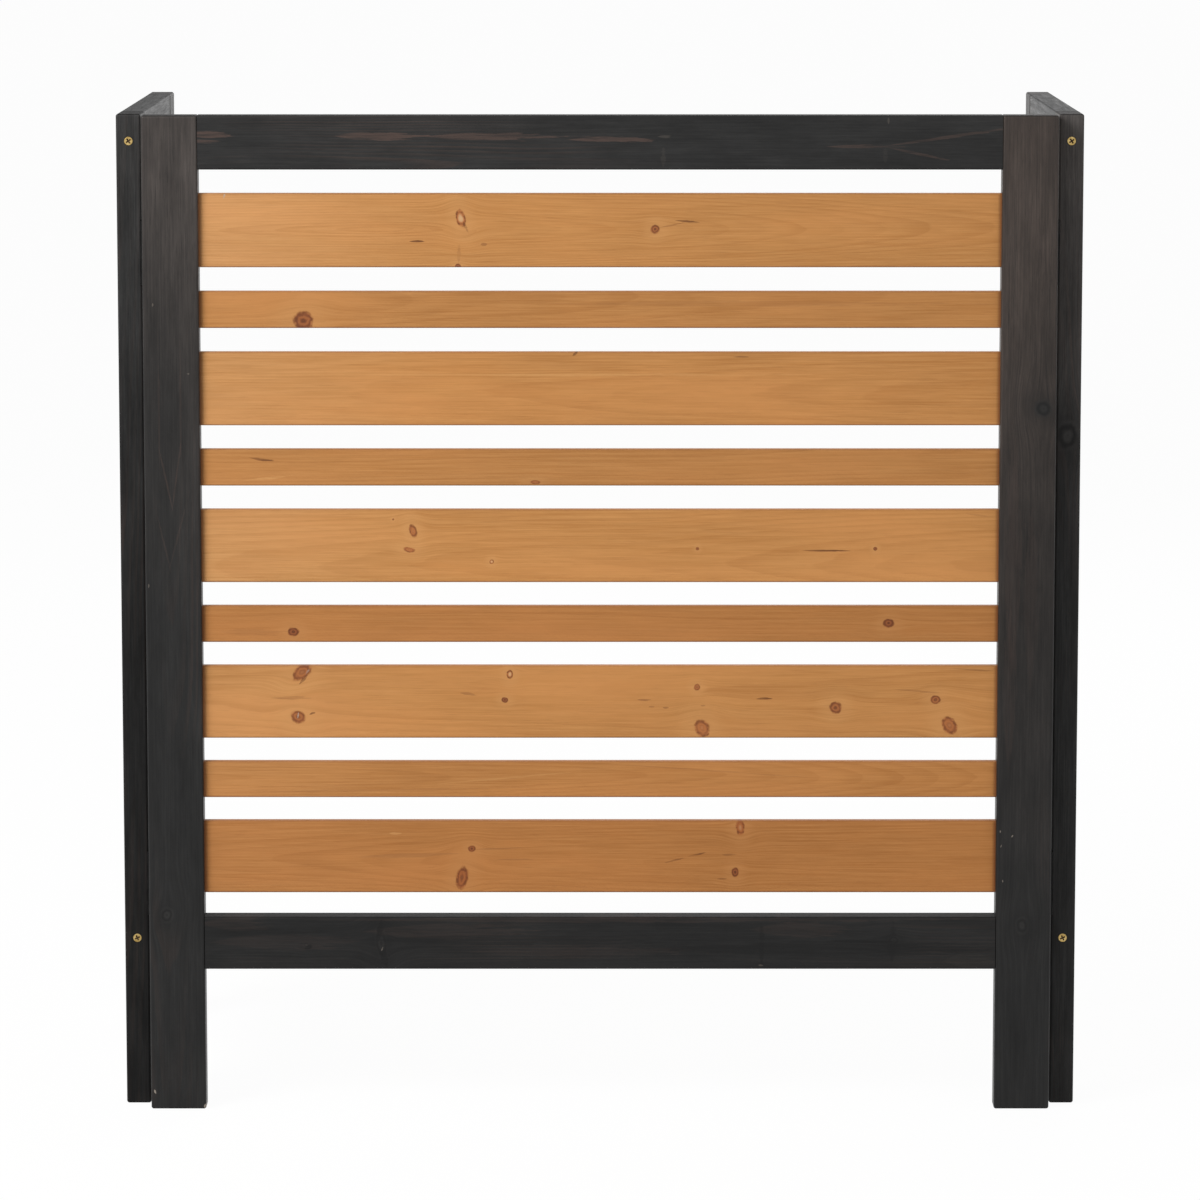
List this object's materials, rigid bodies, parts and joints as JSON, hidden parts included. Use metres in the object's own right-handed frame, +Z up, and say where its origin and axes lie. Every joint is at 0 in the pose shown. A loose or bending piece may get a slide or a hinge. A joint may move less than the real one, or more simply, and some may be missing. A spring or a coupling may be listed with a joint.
{
  "type": "air conditioner screen",
  "caption": "Folding wooden screen that stands in a U round an outdoor air conditioner, with a slatted front panel and slatted side wings on butt hinges.",
  "frame": {"origin": "on the floor, at the centre of the space that the screen takes up with its wings square to the front", "axes": "+Z up, +X to the right seen from the front, and the front panel's face towards -Y"},
  "size_m": [0.9682, 0.4802, 1.01],
  "materials": {
    "dark_stained_wood": "charcoal brown wood stain, satin",
    "brown_stained_wood": "golden brown wood stain, satin",
    "zinc_plated_steel": "yellow passivated zinc plate",
    "black_coated_steel": "black coating on pressed steel"
  },
  "bodies": {
    "front_panel": {"front_bottom_rail": "dark_stained_wood", "front_frame_screws": "zinc_plated_steel", "front_hinge_screws": "zinc_plated_steel", "front_left_post": "dark_stained_wood", "front_right_post": "dark_stained_wood", "front_slat_1": "brown_stained_wood", "front_slat_2": "brown_stained_wood", "front_slat_3": "brown_stained_wood", "front_slat_4": "brown_stained_wood", "front_slat_5": "brown_stained_wood", "front_slat_6": "brown_stained_wood", "front_slat_7": "brown_stained_wood", "front_slat_8": "brown_stained_wood", "front_slat_9": "brown_stained_wood", "front_top_rail": "dark_stained_wood", "left_lower_hinge_pin": "black_coated_steel", "left_lower_hinge_post_leaf": "black_coated_steel", "left_upper_hinge_pin": "black_coated_steel", "left_upper_hinge_post_leaf": "black_coated_steel", "right_lower_hinge_pin": "black_coated_steel", "right_lower_hinge_post_leaf": "black_coated_steel", "right_upper_hinge_pin": "black_coated_steel", "right_upper_hinge_post_leaf": "black_coated_steel"},
    "left_wing": {"left_lower_hinge_wing_leaf": "black_coated_steel", "left_upper_hinge_wing_leaf": "black_coated_steel", "left_wing_bottom_rail": "dark_stained_wood", "left_wing_frame_screws": "zinc_plated_steel", "left_wing_front_stile": "dark_stained_wood", "left_wing_hinge_screws": "zinc_plated_steel", "left_wing_rear_stile": "dark_stained_wood", "left_wing_slat_1": "brown_stained_wood", "left_wing_slat_2": "brown_stained_wood", "left_wing_slat_3": "brown_stained_wood", "left_wing_slat_4": "brown_stained_wood", "left_wing_slat_5": "brown_stained_wood", "left_wing_slat_6": "brown_stained_wood", "left_wing_slat_7": "brown_stained_wood", "left_wing_slat_8": "brown_stained_wood", "left_wing_slat_9": "brown_stained_wood", "left_wing_top_rail": "dark_stained_wood"},
    "right_wing": {"right_lower_hinge_wing_leaf": "black_coated_steel", "right_upper_hinge_wing_leaf": "black_coated_steel", "right_wing_bottom_rail": "dark_stained_wood", "right_wing_frame_screws": "zinc_plated_steel", "right_wing_front_stile": "dark_stained_wood", "right_wing_hinge_screws": "zinc_plated_steel", "right_wing_rear_stile": "dark_stained_wood", "right_wing_slat_1": "brown_stained_wood", "right_wing_slat_2": "brown_stained_wood", "right_wing_slat_3": "brown_stained_wood", "right_wing_slat_4": "brown_stained_wood", "right_wing_slat_5": "brown_stained_wood", "right_wing_slat_6": "brown_stained_wood", "right_wing_slat_7": "brown_stained_wood", "right_wing_slat_8": "brown_stained_wood", "right_wing_slat_9": "brown_stained_wood", "right_wing_top_rail": "dark_stained_wood"}
  },
  "joints": [
    {"name": "left_wing_fold", "type": "hinge", "parent": "front_panel", "child": "left_wing", "pos_m": [-0.4575, -0.21345, 0], "axis": [0, 0, -1], "range_deg": [-90, 90]},
    {"name": "right_wing_fold", "type": "hinge", "parent": "front_panel", "child": "right_wing", "pos_m": [0.4575, -0.21345, 0], "axis": [0, 0, 1], "range_deg": [-90, 90]}
  ]
}
